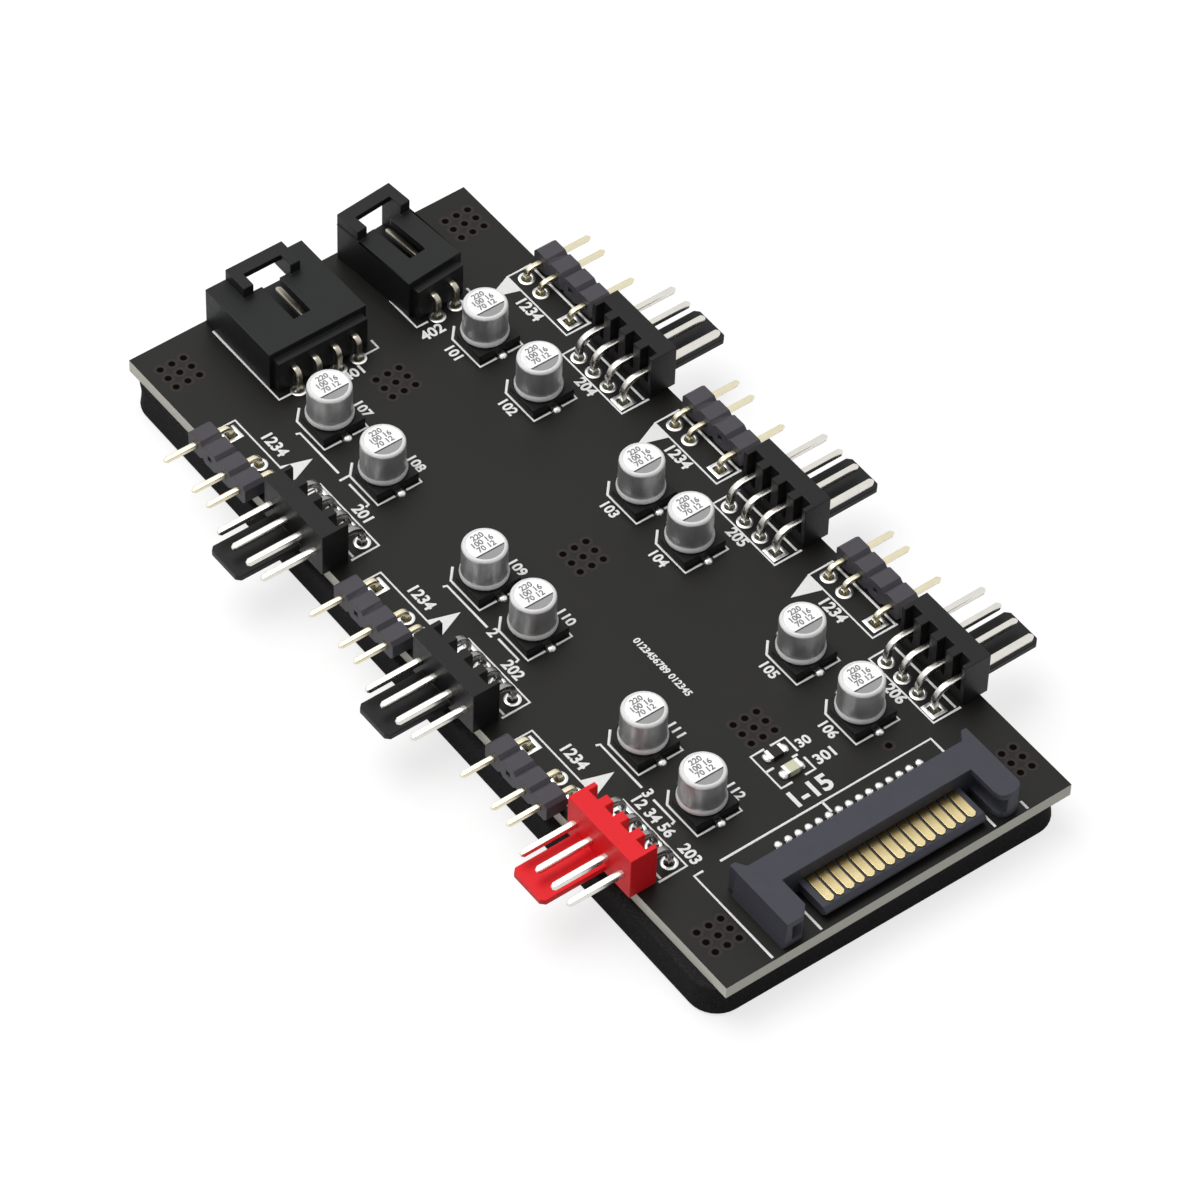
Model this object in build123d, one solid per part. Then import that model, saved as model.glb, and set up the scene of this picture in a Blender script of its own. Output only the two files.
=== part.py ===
from build123d import *
import math
import os

# Fan and light controller hub: a narrow circuit board that sits on a sticky foam pad.
# Millimetres. X runs across the board, Y along it towards the two rear sockets, Z up.
# The origin is the middle of the board's outline, on the sticky underside of the pad.

# Circuit board
board_width = 43.2
board_length = 101.6
board_thickness = 1.6

# Foam pad, cut to the board and laid by hand a little askew
pad_side_overhang = 0.6
pad_end_inset = 0.3
pad_thickness = 4.0
pad_corner_radius = 3.25
pad_shift_x = -0.2
pad_shift_y = 0.15
pad_twist = -0.56

# Square pin stock that every header and socket uses, bent in short flats
pin_pitch = 2.54
pin_size = 0.64
pin_tip_chamfer = 0.2
pin_hole_clearance = 0.05
pin_hole_sides = 6

# Header groups along both long edges, spread evenly between the plug and the rear sockets.
# Each group has a light row and a fan row, a quarter pitch either side of its middle.
group_count = 3
group_end_zone = 12.25
light_row_shift = 0.105
fan_row_shift = 0.655

# Light header: four positions, of which one carries no pin
light_positions = 4
light_empty_position = 1
light_inside = 0.72
light_depth = 2.55
light_height = 2.5
light_notch = 0.6
light_pin_height = 1.27
light_pin_reach = 5.75
light_hole_inset = 2.6
light_bend_radius = 0.7
light_bend_flats = 2

# Fan header: a comb-backed wall with a locking tongue under its pins
fan_positions = 4
fan_tongue_position = 1
fan_inside = 2.35
fan_depth = 3.25
fan_height = 5.6
fan_slot_width = 1.4
fan_slot_depth = 1.1
fan_slot_floor = 1.7
fan_pin_height = 2.7
fan_pin_reach = 7.6
fan_hole_inset = 4.93
fan_bend_radius = 1.5
fan_bend_flats = 3
fan_tongue_width = 5.1
fan_tongue_bottom = 0.5
fan_tongue_thickness = 0.7
fan_tongue_reach = 8.65
fan_tongue_corner = 0.45

# Surface mounted capacitors in two columns, with each group's rows measured from its middle
capacitor_left_x = -9.6
capacitor_right_x = 10.3
capacitor_rows = ((5.97, -3.43), (4.77, -3.43), (3.97, -5.58))
can_diameter = 4.85
can_height = 4.35
can_top_chamfer = 0.28
base_side = 5.3
base_height = 1.1
base_chamfer = 1.2
lead_width = 0.75
lead_thickness = 0.25
lead_length = 2.2
lead_overhang = 0.65

# Drive power plug at the front edge: two guide arms, a bar and a contact tongue
plug_shift_x = 1.38
plug_height = 3.5
plug_arm_front = 0.5
plug_arm_rear = 9.7
plug_left_arm_inner = 12.25
plug_left_arm_width = 3.0
plug_left_arm_flare = 0.45
plug_left_arm_chamfer = 1.1
plug_right_arm_inner = 11.4
plug_right_arm_width = 2.95
plug_right_arm_rounding = 1.2
plug_tail_root = 1.35
plug_tail_tip = 0.65
plug_bar_front = 5.25
plug_bar_depth = 3.37
plug_tongue_front = 0.95
plug_tongue_width = 20.2
plug_tongue_bottom = 0.3
plug_tongue_thickness = 1.25
plug_tongue_chamfer = 0.45
plug_recess_width = 2.35
plug_recess_depth = 3.0
plug_recess_floor = 0.75
plug_recess_height = 2.0
plug_groove_width = 0.9
contact_count = 15
contact_pitch = 1.27
contact_width = 0.95
contact_thickness = 0.2
contact_front = 1.55
contact_nose_chamfer = 0.3
contact_heel = 0.8
contact_foot = 1.7
contact_foot_width = 0.5
contact_foot_shift = 0.78

# Rear sockets: open-ended shrouds with a raised latch bridge over a window in the roof
wide_socket_positions = 4
wide_socket_x = -5.87
narrow_socket_positions = 2
narrow_socket_x = 9.24
narrow_socket_shift = 0.11
narrow_socket_twist = 5.0
socket_end_margin = 2.34
socket_length = 11.6
socket_mouth_inset = 0.23
socket_height = 5.0
socket_side_wall = 1.0
socket_floor = 0.7
socket_roof = 0.9
socket_rear_wall = 1.6
socket_ledge_depth = 0.97
socket_ledge_inset = 0.5
socket_ledge_height = 4.1
socket_pin_height = 2.65
socket_pin_reach = 9.25
socket_tail_gap = 0.88
socket_bend_radius = 0.6
socket_bend_flats = 2
socket_latch_width = 7.2
socket_latch_length = 3.45
socket_latch_height = 1.4
socket_latch_leg = 1.25
socket_latch_bar_depth = 1.6
socket_latch_bar_thickness = 0.75
socket_window_length = 3.1
socket_slot_width = 2.2
socket_slot_length = 5.7

# Indicator lamp and its resistor, behind the drive power plug
chip_place_x = 0.23
lamp_row = 17.62
resistor_gap = 2.65
chip_length = 2.0
chip_width = 1.25
lamp_height = 0.8
resistor_height = 0.5
terminal_length = 0.4

board_top = pad_thickness + board_thickness
board_front = -board_length / 2
board_back = board_length / 2
group_pitch = (board_length - 2 * group_end_zone) / group_count
light_row_offset = group_pitch / 4 + light_row_shift
fan_row_offset = -group_pitch / 4 + fan_row_shift


def block(x_range, y_range, z_range):
    """A box given by its two limits along each axis."""
    size = [high - low for low, high in (x_range, y_range, z_range)]
    middle = [(high + low) / 2 for low, high in (x_range, y_range, z_range)]
    return Pos(*middle) * Box(*size)


def pin_offsets(positions):
    """Distances of the pins from the middle of a header, pin one first."""
    return [(number - (positions - 1) / 2) * pin_pitch for number in range(positions)]


def bent_pin(tip_x, height, hole_x, radius, flats):
    """A square pin that runs in from its tip, bends down and ends flush under the board."""
    half = pin_size / 2
    inward = math.copysign(1, tip_x - hole_x)
    turns = [math.radians(90 * step / flats) for step in range(flats + 1)]

    def bend(reach):
        middle = hole_x + inward * radius
        return [(middle - inward * reach * math.sin(turn), height - radius + reach * math.cos(turn))
                for turn in turns]

    foot = [(hole_x - inward * half, -board_thickness), (hole_x + inward * half, -board_thickness)]
    tip = [(tip_x, height - half), (tip_x, height + half)]
    outline = bend(radius + half) + foot + bend(radius - half)[::-1] + tip
    pin = extrude(Plane.XZ * make_face(Polyline(outline, close=True)), half, both=True)
    tip_face = pin.faces().sort_by_distance((tip_x, 0, height))[0]
    return chamfer(tip_face.edges(), pin_tip_chamfer)


def pin_row(pin, offsets):
    """Copies of one pin along the local Y axis."""
    return [Pos(0, offset, 0) * pin for offset in offsets]


def group_rows(offset):
    """Y of one row in every group, the rearmost group first."""
    return [offset + ((group_count - 1) / 2 - number) * group_pitch for number in range(group_count)]


def edge_places(offset):
    """Header places along both long edges, with local X pointing off the board."""
    places = {}
    for number, y in enumerate(group_rows(offset), start=1):
        places[f"left_{number}"] = Pos(-board_width / 2, y, board_top) * Rot(0, 0, 180)
        places[f"right_{number}"] = Pos(board_width / 2, y, board_top)
    return places


def socket_place(x, shift, twist):
    """A rear socket's place: local X points in over the board, away from its open mouth."""
    rear = board_back - socket_mouth_inset - socket_length + shift
    return Pos(x, rear, board_top) * Rot(0, 0, twist - 90)


light_offsets = pin_offsets(light_positions)
light_pin_offsets = [y for number, y in enumerate(light_offsets) if number != light_empty_position]
fan_offsets = pin_offsets(fan_positions)
socket_tail_x = socket_ledge_depth + socket_tail_gap
fan_places = edge_places(fan_row_offset)
light_places = edge_places(light_row_offset)
sockets = {
    "wide": (wide_socket_positions, socket_place(wide_socket_x, 0, 0)),
    "narrow": (
        narrow_socket_positions,
        socket_place(narrow_socket_x, narrow_socket_shift, narrow_socket_twist),
    ),
}


def foam_pad():
    width = board_width + 2 * pad_side_overhang
    length = board_length - 2 * pad_end_inset
    block_of_foam = extrude(RectangleRounded(width, length, pad_corner_radius), pad_thickness)
    return Pos(pad_shift_x, pad_shift_y, 0) * Rot(0, 0, pad_twist) * block_of_foam


def pin_hole_places():
    """Every plated hole in the board that a bent pin passes through."""
    holes = []
    for place in light_places.values():
        holes += [place * Pos(-light_hole_inset, y, 0) for y in light_pin_offsets]
    for place in fan_places.values():
        holes += [place * Pos(-fan_hole_inset, y, 0) for y in fan_offsets]
    for positions, place in sockets.values():
        holes += [place * Pos(socket_tail_x, y, 0) for y in pin_offsets(positions)]
    return holes


def circuit_board():
    """A plain plate with a hole for each pin, drawn with a few flat sides."""
    outline = Rectangle(board_width, board_length)
    hole_reach = pin_size / math.sqrt(2) + pin_hole_clearance
    hole = RegularPolygon(hole_reach, pin_hole_sides, major_radius=False)
    for place in pin_hole_places():
        outline -= Pos(place.position.X, place.position.Y, 0) * hole
    return Pos(0, 0, pad_thickness) * extrude(outline, board_thickness)


def light_header():
    """Four moulded blocks in a row, with a V notch at each joint."""
    length = light_positions * pin_pitch
    profile = Rectangle(length, light_height)
    notch = Rectangle(light_notch, light_notch, rotation=45)
    for joint in range(light_positions + 1):
        y = joint * pin_pitch - length / 2
        profile -= Pos(y, light_height / 2) * notch
        profile -= Pos(y, -light_height / 2) * notch
    for y in light_offsets:
        profile -= Pos(y, light_pin_height - light_height / 2) * Rectangle(pin_size, pin_size)
    inner_face = Plane(origin=(-light_inside, 0, light_height / 2), x_dir=(0, 1, 0), z_dir=(1, 0, 0))
    return extrude(inner_face * profile, light_depth)


def light_pins():
    hole_x = -light_hole_inset
    pin = bent_pin(light_pin_reach, light_pin_height, hole_x, light_bend_radius, light_bend_flats)
    return pin_row(pin, light_pin_offsets)


def fan_header():
    """The upright wall, its comb of pin slots at the back and its locking tongue in front."""
    length = fan_positions * pin_pitch
    front = fan_depth - fan_inside
    wall = block((-fan_inside, front), (-length / 2, length / 2), (0, fan_height))
    for y in fan_offsets:
        slot_sides = (y - fan_slot_width / 2, y + fan_slot_width / 2)
        slot_depth = (-fan_inside, fan_slot_depth - fan_inside)
        wall -= block(slot_depth, slot_sides, (fan_slot_floor, fan_height))
        hole_sides = (y - pin_size / 2, y + pin_size / 2)
        hole_heights = (fan_pin_height - pin_size / 2, fan_pin_height + pin_size / 2)
        wall -= block((-fan_inside, front), hole_sides, hole_heights)
    tongue_length = fan_tongue_reach - front
    tongue = Pos(front + tongue_length / 2, 0) * Rectangle(tongue_length, fan_tongue_width)
    tongue = chamfer(tongue.vertices().group_by(Axis.X)[-1], fan_tongue_corner)
    tongue_place = Pos(0, fan_offsets[fan_tongue_position], fan_tongue_bottom)
    return wall + tongue_place * extrude(tongue, fan_tongue_thickness)


def fan_pins():
    hole_x = -fan_hole_inset
    pin = bent_pin(fan_pin_reach, fan_pin_height, hole_x, fan_bend_radius, fan_bend_flats)
    return pin_row(pin, fan_offsets)


def capacitor_places():
    """Two capacitors on each side in every group, numbered from the back."""
    rows = [middle + offset
            for middle, offsets in zip(group_rows(0), capacitor_rows)
            for offset in offsets]
    places = {}
    for side, x in (("left", capacitor_left_x), ("right", capacitor_right_x)):
        for number, y in enumerate(rows, start=1):
            places[f"{side}_{number}"] = Pos(x, y, board_top)
    return places


def capacitor_can():
    """A drawn can with a rounded-over top edge, standing on its base."""
    can = extrude(Pos(0, 0, base_height) * Circle(can_diameter / 2), can_height)
    rim = can.edges().group_by(Axis.Z)[-1]
    return chamfer(rim, can_top_chamfer)


def capacitor_base():
    """A square foot with two cut corners, grooved underneath for the leads."""
    outline = Rectangle(base_side, base_side)
    outline = chamfer(outline.vertices().group_by(Axis.Y)[-1], base_chamfer)
    base = extrude(outline, base_height)
    for lead in capacitor_lead_pair():
        base -= lead
    return base


def capacitor_lead_pair():
    """Flat leads that lie on the board and stick out at both ends of the base."""
    outer = base_side / 2 + lead_overhang
    sides = (-lead_width / 2, lead_width / 2)
    front = block(sides, (-outer, lead_length - outer), (0, lead_thickness))
    back = block(sides, (outer - lead_length, outer), (0, lead_thickness))
    return [front, back]


def contact_offsets():
    return [(number - (contact_count - 1) / 2) * contact_pitch for number in range(contact_count)]


contact_bottom = plug_tongue_bottom + plug_tongue_thickness
plug_bar_rear = plug_bar_front + plug_bar_depth
plug_place = Pos(plug_shift_x, board_front, board_top)


def plug_contact():
    """One strip: along the tongue, through the bar, then down to a foot that slants to its pad."""
    heel = plug_bar_rear + contact_heel
    end = heel + contact_foot
    top = contact_bottom + contact_thickness
    sides = (-contact_width / 2, contact_width / 2)
    strip = block(sides, (contact_front, heel), (contact_bottom, top))
    nose = strip.edges().filter_by(Axis.Z).group_by(Axis.Y)[0]
    strip = chamfer(nose, contact_nose_chamfer)
    leg = block(sides, (heel - contact_thickness, heel), (0, contact_bottom))
    half = contact_foot_width / 2
    plan = [(-half, heel), (half, heel), (contact_foot_shift + half, end), (contact_foot_shift - half, end)]
    foot = extrude(make_face(Polyline(plan, close=True)), contact_thickness, dir=(0, 0, 1))
    return strip + leg + foot


def plug_contacts():
    contact = plug_contact()
    return [Pos(x, 0, 0) * contact for x in contact_offsets()]


def plug_left_arm():
    """The left guide arm: its outer side leans out, its inner front corner is cut."""
    inner = -plug_left_arm_inner
    outer = inner - plug_left_arm_width
    profile = [(inner, 0), (inner, plug_height), (outer, plug_height), (outer - plug_left_arm_flare, 0)]
    rear_face = Pos(0, plug_bar_rear, 0) * (Plane.XZ * make_face(Polyline(profile, close=True)))
    arm = extrude(rear_face, plug_bar_rear - plug_arm_front, dir=(0, -1, 0))
    corner = arm.edges().filter_by(Axis.Z).group_by(Axis.Y)[0]
    return chamfer(corner, plug_left_arm_chamfer)


def plug_right_arm():
    """The right guide arm, with a rounded front end."""
    length = plug_bar_rear - plug_arm_front
    middle = plug_right_arm_inner + plug_right_arm_width / 2
    plan = Pos(middle, plug_arm_front + length / 2) * Rectangle(plug_right_arm_width, length)
    plan = fillet(plan.vertices().group_by(Axis.Y)[0], plug_right_arm_rounding)
    return extrude(plan, plug_height)


def plug_tail(outer, side):
    """The narrow end of an arm behind the bar, on the left for side -1 and on the right for side 1."""
    root, tip = outer - side * plug_tail_root, outer - side * plug_tail_tip
    plan = [(outer, plug_bar_rear), (outer, plug_arm_rear), (tip, plug_arm_rear), (root, plug_bar_rear)]
    return extrude(make_face(Polyline(plan, close=True)), plug_height, dir=(0, 0, 1))


def plug_housing():
    bar_span = (-plug_left_arm_inner, plug_right_arm_inner)
    bar = block(bar_span, (plug_bar_front, plug_bar_rear), (0, plug_height))
    housing = bar + plug_left_arm() + plug_right_arm()
    housing += plug_tail(-plug_left_arm_inner - plug_left_arm_width, -1)
    housing += plug_tail(plug_right_arm_inner + plug_right_arm_width, 1)

    heights = (plug_recess_floor, plug_recess_floor + plug_recess_height)
    recess = (-plug_left_arm_inner - plug_recess_width, -plug_left_arm_inner)
    housing -= block(recess, (plug_arm_front, plug_arm_front + plug_recess_depth), heights)
    groove = (plug_right_arm_inner, plug_right_arm_inner + plug_groove_width)
    housing -= block(groove, (plug_arm_front, plug_bar_front), heights)

    half = plug_tongue_width / 2
    tongue = block((-half, half), (plug_tongue_front, plug_bar_front), (plug_tongue_bottom, contact_bottom))
    nose = tongue.edges().filter_by(Axis.X).group_by(Axis.Y)[0]
    housing += chamfer(nose, plug_tongue_chamfer)

    slot_heights = (contact_bottom, contact_bottom + contact_thickness)
    for x in contact_offsets():
        sides = (x - contact_width / 2, x + contact_width / 2)
        housing -= block(sides, (plug_bar_front, plug_bar_rear), slot_heights)
    return housing


def socket_housing(positions):
    """An open shroud. Local X is zero at its rear face and negative towards its mouth."""
    offsets = pin_offsets(positions)
    half = offsets[-1] + socket_end_margin
    mouth = -socket_length
    roof_under = socket_height - socket_roof
    shell = block((mouth, 0), (-half, half), (0, socket_height))
    inner = half - socket_side_wall
    shell -= block((mouth, -socket_rear_wall), (-inner, inner), (socket_floor, roof_under))
    ledge = half - socket_ledge_inset
    shell += block((0, socket_ledge_depth), (-ledge, ledge), (0, socket_ledge_height))

    latch = socket_latch_width / 2
    gap = latch - socket_latch_leg
    latch_top = socket_height + socket_latch_height
    bridge = block((mouth, mouth + socket_latch_length), (-latch, latch), (socket_height, latch_top))
    bridge -= block((mouth, mouth + socket_latch_length), (-gap, gap),
                    (socket_height, latch_top - socket_latch_bar_thickness))
    bridge -= block((mouth + socket_latch_bar_depth, mouth + socket_latch_length), (-gap, gap),
                    (socket_height, latch_top))
    shell += bridge

    window_rear = mouth + socket_window_length
    shell -= block((mouth, window_rear), (-gap, gap), (roof_under, socket_height))
    slot = socket_slot_width / 2
    shell -= block((window_rear, window_rear + socket_slot_length), (-slot, slot),
                   (roof_under, socket_height))

    for y in offsets:
        hole_sides = (y - pin_size / 2, y + pin_size / 2)
        hole_heights = (socket_pin_height - pin_size / 2, socket_pin_height + pin_size / 2)
        shell -= block((-socket_rear_wall, socket_ledge_depth), hole_sides, hole_heights)
    return shell


def socket_pins(positions):
    tip_x = -socket_pin_reach
    pin = bent_pin(tip_x, socket_pin_height, socket_tail_x, socket_bend_radius, socket_bend_flats)
    return pin_row(pin, pin_offsets(positions))


def chip_body(height):
    """The part of a chip between its two plated ends."""
    half = chip_length / 2 - terminal_length
    return block((-half, half), (-chip_width / 2, chip_width / 2), (0, height))


def chip_terminals(height):
    inner = chip_length / 2 - terminal_length
    ends = ((-chip_length / 2, -inner), (inner, chip_length / 2))
    return [block(end, (-chip_width / 2, chip_width / 2), (0, height)) for end in ends]


def group(shapes):
    """Separate solids that share one node."""
    return Compound([solid for shape in shapes for solid in shape.solids()])


def assembly():
    """Every node of the hub, by name."""
    nodes = {"foam_pad": foam_pad(), "circuit_board": circuit_board()}

    nodes["power_plug_housing"] = plug_place * plug_housing()
    nodes["power_plug_contacts"] = plug_place * group(plug_contacts())

    for kind, (positions, place) in sockets.items():
        nodes[f"{kind}_socket_housing"] = place * socket_housing(positions)
        nodes[f"{kind}_socket_pins"] = place * group(socket_pins(positions))

    header, pins = light_header(), group(light_pins())
    for name, place in light_places.items():
        nodes[f"light_header_{name}"] = place * header
        nodes[f"light_pins_{name}"] = place * pins

    header, pins = fan_header(), group(fan_pins())
    for name, place in fan_places.items():
        nodes[f"fan_header_{name}"] = place * header
        nodes[f"fan_pins_{name}"] = place * pins

    can, base, leads = capacitor_can(), capacitor_base(), []
    for name, place in capacitor_places().items():
        nodes[f"capacitor_can_{name}"] = place * can
        nodes[f"capacitor_base_{name}"] = place * base
        leads += [place * lead for lead in capacitor_lead_pair()]
    nodes["capacitor_leads"] = group(leads)

    lamp_place = Pos(chip_place_x, board_front + lamp_row, board_top)
    resistor_place = lamp_place * Pos(0, resistor_gap, 0)
    nodes["indicator_lamp"] = lamp_place * chip_body(lamp_height)
    nodes["lamp_resistor"] = resistor_place * chip_body(resistor_height)
    ends = [lamp_place * end for end in chip_terminals(lamp_height)]
    ends += [resistor_place * end for end in chip_terminals(resistor_height)]
    nodes["chip_terminals"] = group(ends)
    return nodes


os.makedirs("parts", exist_ok=True)
for node_name, shape in assembly().items():
    export_step(shape, f"parts/{node_name}.step")
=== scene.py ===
"""Looks of the fan controller hub: pins, cans, solder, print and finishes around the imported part."""

import math

import bmesh
import bpy
from mathutils import Matrix, Vector


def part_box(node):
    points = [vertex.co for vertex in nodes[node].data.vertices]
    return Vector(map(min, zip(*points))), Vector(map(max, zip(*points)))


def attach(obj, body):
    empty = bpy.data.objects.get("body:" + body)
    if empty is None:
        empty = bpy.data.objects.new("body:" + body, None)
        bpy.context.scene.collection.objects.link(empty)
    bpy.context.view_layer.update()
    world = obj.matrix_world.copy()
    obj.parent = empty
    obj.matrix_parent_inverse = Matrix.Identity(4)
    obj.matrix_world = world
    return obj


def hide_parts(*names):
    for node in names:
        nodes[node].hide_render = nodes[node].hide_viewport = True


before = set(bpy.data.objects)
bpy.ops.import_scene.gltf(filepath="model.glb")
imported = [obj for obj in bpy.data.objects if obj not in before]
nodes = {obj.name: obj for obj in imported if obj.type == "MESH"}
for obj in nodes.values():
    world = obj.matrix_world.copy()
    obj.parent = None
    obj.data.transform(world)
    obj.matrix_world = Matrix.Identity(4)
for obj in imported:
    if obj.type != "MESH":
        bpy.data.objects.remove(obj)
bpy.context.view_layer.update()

# Pieces are shaped in millimetres and scaled to metres when they are settled.
MM = 0.001


def corners(node):
    """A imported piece's lowest and highest corners, in millimetres."""
    low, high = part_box(node)
    return low / MM, high / MM


def centre_of(node):
    low, high = corners(node)
    return (low + high) / 2


# Board, rows and columns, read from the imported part
board_low, board_high = corners("circuit_board")
BOARD_WIDTH, BOARD_LENGTH, BOARD_THICKNESS = board_high - board_low
BOARD_FRONT = board_low.y
BOARD_TOP = board_high.z
LIGHT_ROWS = [centre_of(f"light_header_left_{number}").y for number in (1, 2, 3)]
FAN_ROWS = [centre_of(f"fan_header_left_{number}").y for number in (1, 2, 3)]
CAN_ROWS = [centre_of(f"capacitor_base_left_{number}").y for number in range(1, 7)]
CAN_COLUMNS = {side: centre_of(f"capacitor_base_{side}_1").x for side in ("left", "right")}

# Square pins: each reaches past its edge at a height over the board, and is bent over behind its row
PIN_SIDE = 0.64
PIN_OFFSETS = (-3.81, -1.27, 1.27, 3.81)
FAN_PIN_REACH = 7.6
FAN_PIN_HEIGHT = 2.7
FAN_HOLE_INSET = 4.93
FAN_BEND_RADIUS = 1.5
FAN_COMB_BACK = 2.6
LIGHT_PIN_SIDE = 0.55
LIGHT_PIN_OFFSETS = (-3.81, 1.27, 3.81)
LIGHT_PIN_REACH = 5.75
LIGHT_PIN_HEIGHT = 1.27
LIGHT_HOLE_INSET = 2.6
LIGHT_BEND_RADIUS = 0.7
SOCKET_PIN_REACH = 9.25
SOCKET_PIN_HEIGHT = 2.65
SOCKET_HOLE_GAP = 1.85
SOCKET_BEND_RADIUS = 0.6

# Capacitor cans, with heights over the board and a printed segment beyond a chord
CAN_FOOT = corners("capacitor_base_left_1")[1].z - BOARD_TOP
CAN_TOP = corners("capacitor_can_left_1")[1].z - BOARD_TOP
CAN_RADIUS = 2.41
CHORD_BACK = -0.85
CHORD_FRONT = -1.03
CAN_DIGIT_SIZE = 0.95

# Solder under the can leads, the plug's contacts and the chips
LEAD_STEP = 3.1
CONTACT_COUNT = 15
CONTACT_PITCH = 1.27
CONTACT_PAD_X = 2.16
CONTACT_PAD_Y = BOARD_FRONT + 10.93
CHIP_END = 1.12

# Stitching holes
HOLE_STEP = 1.47
HOLE_BLOCKS = ((-18.3, 46.3), (18.45, 46.35), (-0.9, 32.05), (0.4, 1.4),
               (0.6, -26.6), (-18.3, -45.2), (18.45, -45.2))
LONE_HOLE = (10.04, -36.3)

# White print
INK_WIDTH = 0.28
INK_HEIGHT = 0.03
BOLDNESS = 0.03
BRACKET_X = -13.1

# Foam pad, laid a little askew, with its sides pressed in by these shares at these heights
PAD_SIZE = (44.4, 101.0, 4.0)
PAD_CORNER = 3.25
PAD_SHIFT = (-0.2, 0.15)
PAD_TWIST = -0.56
PAD_PRESS = {1.0: 0.9955, 2.0: 0.993, 3.0: 0.9955}

# Camera, lamps and surroundings
CAMERA_LENS = 197.62
CAMERA_PLACE = (-0.273654, -0.344248, 0.509291)
CAMERA_TURN = (40.82007, -1.3895, -37.04593)
OVERHEAD_POWER = 6.8
FILL_POWER = 1.5
SKY_LIGHT = 0.45
FRONT_LEFT = (-0.62, -0.78, 0.0)
FRONT_SHARE = 0.3
FLOOR_TONE = 0.36
FLOOR_GLOW = 0.72


# Camera, floor and light

def place_camera():
    camera_data = bpy.data.cameras.new("photo_camera")
    camera_data.sensor_width = 36.0
    camera_data.lens = CAMERA_LENS
    camera_data.clip_start = 0.05
    camera_data.clip_end = 20.0
    camera = bpy.data.objects.new("photo_camera", camera_data)
    camera.location = CAMERA_PLACE
    camera.rotation_euler = [math.radians(angle) for angle in CAMERA_TURN]
    bpy.context.scene.collection.objects.link(camera)
    bpy.context.scene.camera = camera


def soft_light(name, place, aim, size, power):
    light_data = bpy.data.lights.new(name, "AREA")
    light_data.shape = "RECTANGLE"
    light_data.size, light_data.size_y = size
    light_data.energy = power
    light = bpy.data.objects.new(name, light_data)
    light.location = place
    light.rotation_euler = (Vector(aim) - Vector(place)).to_track_quat("-Z", "Y").to_euler()
    bpy.context.scene.collection.objects.link(light)


def joined_math(tree, operation, first, second):
    node = tree.nodes.new("ShaderNodeMath")
    node.operation = operation
    tree.links.new(first, node.inputs[0])
    tree.links.new(second, node.inputs[1])
    return node.outputs[0]


def map_range(tree, value, limits):
    """A value carried from one range to another: from low, from high, to low, to high."""
    node = tree.nodes.new("ShaderNodeMapRange")
    for key, limit in zip(("From Min", "From Max", "To Min", "To Max"), limits):
        node.inputs[key].default_value = limit
    tree.links.new(value, node.inputs["Value"])
    return node.outputs[0]


def seen_rays(tree):
    """Two flags: rays from the camera, and those together with rays off metal or through glass."""
    rays = tree.nodes.new("ShaderNodeLightPath").outputs
    mirrored = joined_math(tree, "MAXIMUM", rays["Is Glossy Ray"], rays["Is Transmission Ray"])
    return rays["Is Camera Ray"], joined_math(tree, "MAXIMUM", rays["Is Camera Ray"], mirrored)


def light_the_studio():
    """Two soft lamps in a white world that is dimmer towards the front left, as the dark sides show."""
    soft_light("overhead_softbox", (-0.15, 0.35, 0.95), (0, 0, 0), (0.9, 0.7), OVERHEAD_POWER)
    soft_light("left_fill", (-0.9, -0.5, 0.5), (0, 0, 0), (0.6, 0.6), FILL_POWER)

    world = bpy.data.worlds.new("white_studio")
    bpy.context.scene.world = world
    world.use_nodes = True
    tree = world.node_tree
    background = tree.nodes["Background"]
    background.inputs["Color"].default_value = (1, 1, 1, 1)
    camera_ray, seen = seen_rays(tree)
    strength = map_range(tree, seen, (0, 1, SKY_LIGHT, 1.0))
    where = tree.nodes.new("ShaderNodeTexCoord")
    frontward = tree.nodes.new("ShaderNodeVectorMath")
    frontward.operation = "DOT_PRODUCT"
    frontward.inputs[1].default_value = FRONT_LEFT
    tree.links.new(where.outputs["Generated"], frontward.inputs[0])
    dim_front = map_range(tree, frontward.outputs["Value"], (0.1, 0.75, 1.0, FRONT_SHARE))
    white_behind = joined_math(tree, "MAXIMUM", dim_front, camera_ray)
    shaded = joined_math(tree, "MULTIPLY", strength, white_behind)
    tree.links.new(shaded, background.inputs["Strength"])


def lay_floor():
    """A white floor: bright to the camera and in reflections, with the hub's own soft shadow on it."""
    bpy.ops.object.select_all(action="DESELECT")
    bpy.ops.mesh.primitive_plane_add(size=6, location=(0, 0, -0.0002))
    floor = bpy.context.active_object
    floor.name = "studio_floor"
    material = bpy.data.materials.new("floor_white")
    material.use_nodes = True
    tree = material.node_tree
    tree.nodes.clear()
    output = tree.nodes.new("ShaderNodeOutputMaterial")
    diffuse = tree.nodes.new("ShaderNodeBsdfDiffuse")
    diffuse.inputs["Color"].default_value = (FLOOR_TONE, FLOOR_TONE, FLOOR_TONE, 1)
    glow = tree.nodes.new("ShaderNodeEmission")
    glow.inputs["Strength"].default_value = FLOOR_GLOW
    dark = tree.nodes.new("ShaderNodeEmission")
    dark.inputs["Strength"].default_value = 0.0
    glow_where_seen = tree.nodes.new("ShaderNodeMixShader")
    tree.links.new(seen_rays(tree)[1], glow_where_seen.inputs["Fac"])
    tree.links.new(dark.outputs[0], glow_where_seen.inputs[1])
    tree.links.new(glow.outputs[0], glow_where_seen.inputs[2])
    both = tree.nodes.new("ShaderNodeAddShader")
    tree.links.new(diffuse.outputs[0], both.inputs[0])
    tree.links.new(glow_where_seen.outputs[0], both.inputs[1])
    tree.links.new(both.outputs[0], output.inputs["Surface"])
    floor.data.materials.append(material)


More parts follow.
